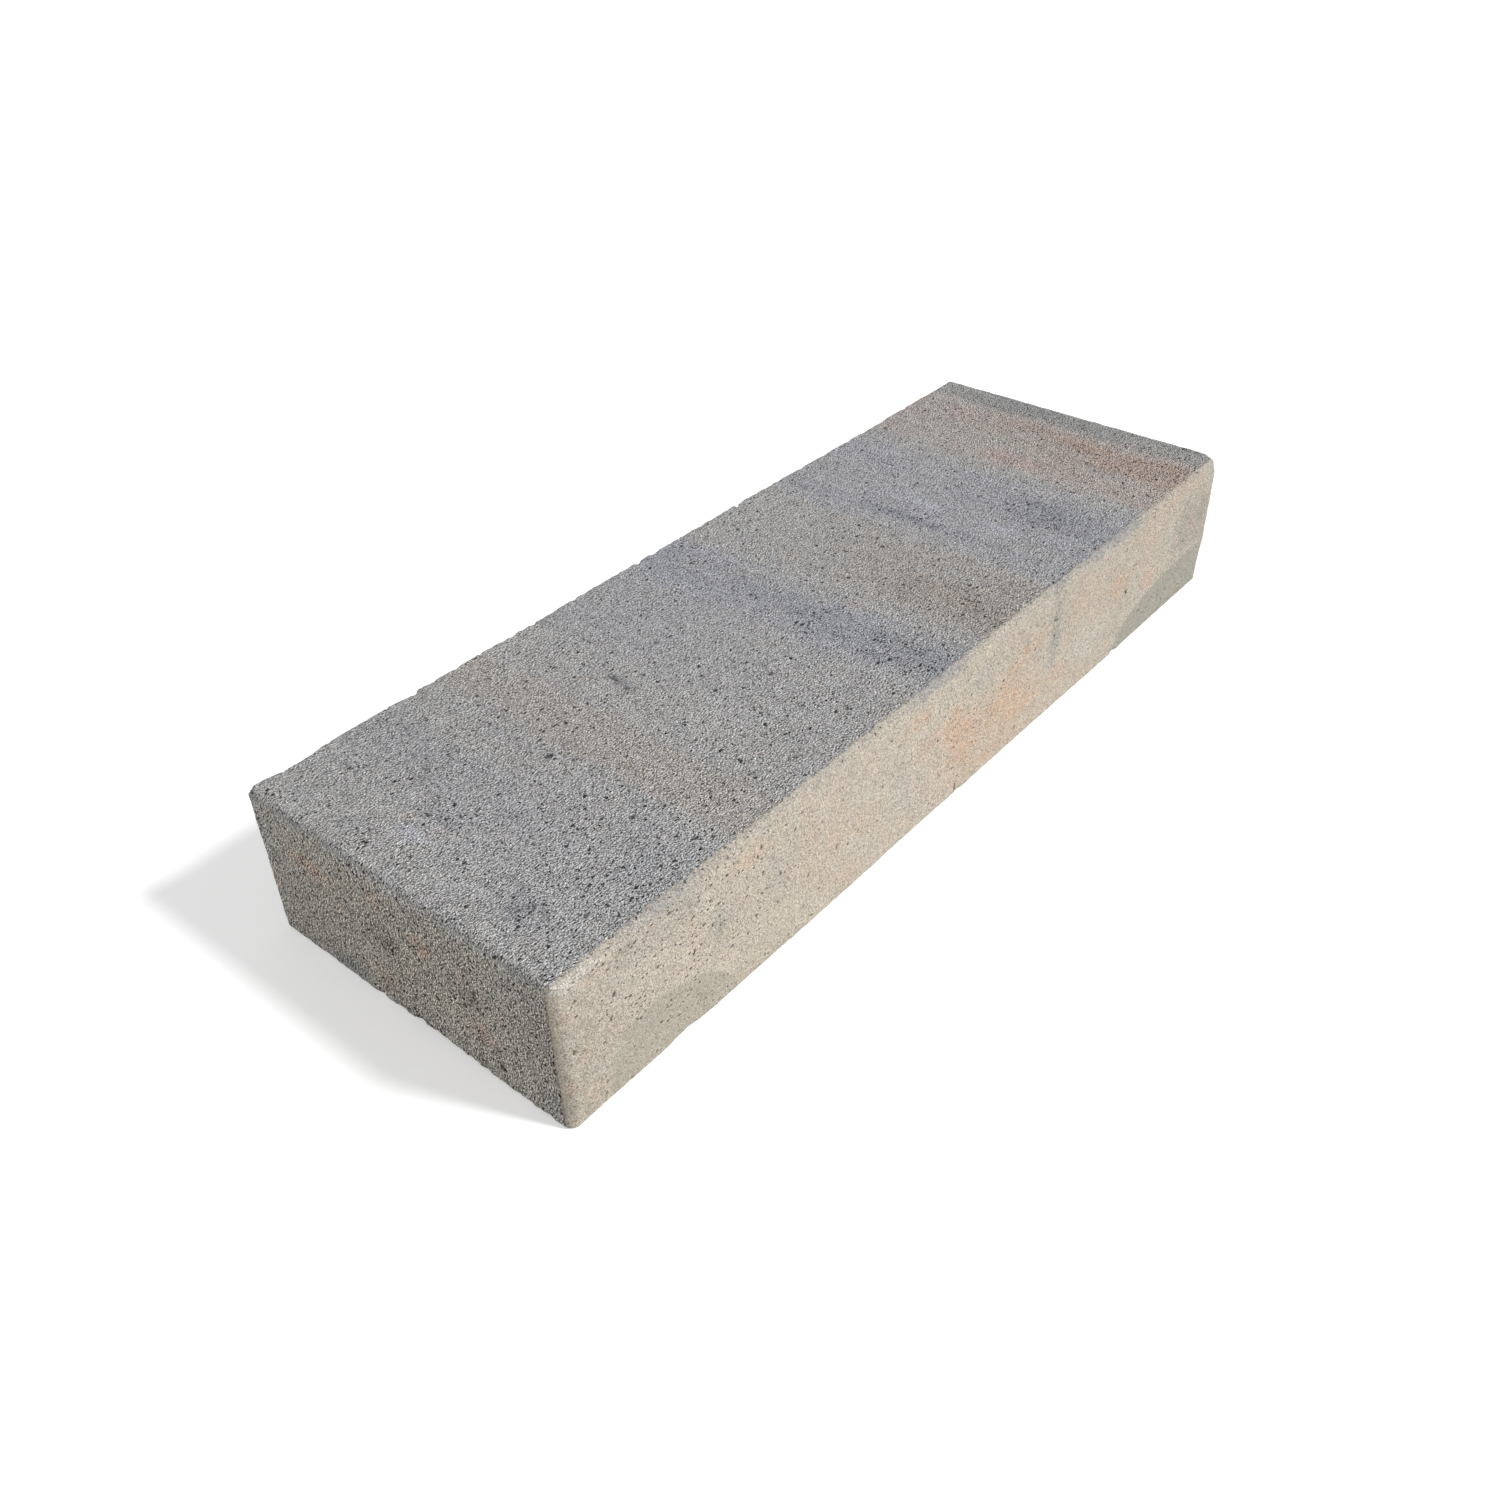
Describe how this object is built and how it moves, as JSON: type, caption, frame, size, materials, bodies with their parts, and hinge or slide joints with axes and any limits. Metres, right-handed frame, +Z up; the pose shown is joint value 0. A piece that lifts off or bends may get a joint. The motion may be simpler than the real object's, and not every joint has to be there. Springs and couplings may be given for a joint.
{
  "type": "block step",
  "caption": "Long rectangular block step of cast stone with rounded edges and a dressed riser, laid on its bed to carry one step of a garden stair.",
  "frame": {"origin": "middle of the flat underside, on the ground that the step lies on", "axes": "+X along the step from its left to its right end as seen from the riser, -Y out of the riser that shows, +Z up out of the tread"},
  "size_m": [1, 0.35, 0.15],
  "materials": {
    "cast_stone": "matt, fine granular blasted surface, grey tread clouded in bluish, brown and orange bands, beige riser"
  },
  "bodies": {
    "root": {"step_block": "cast_stone"}
  },
  "joints": []
}
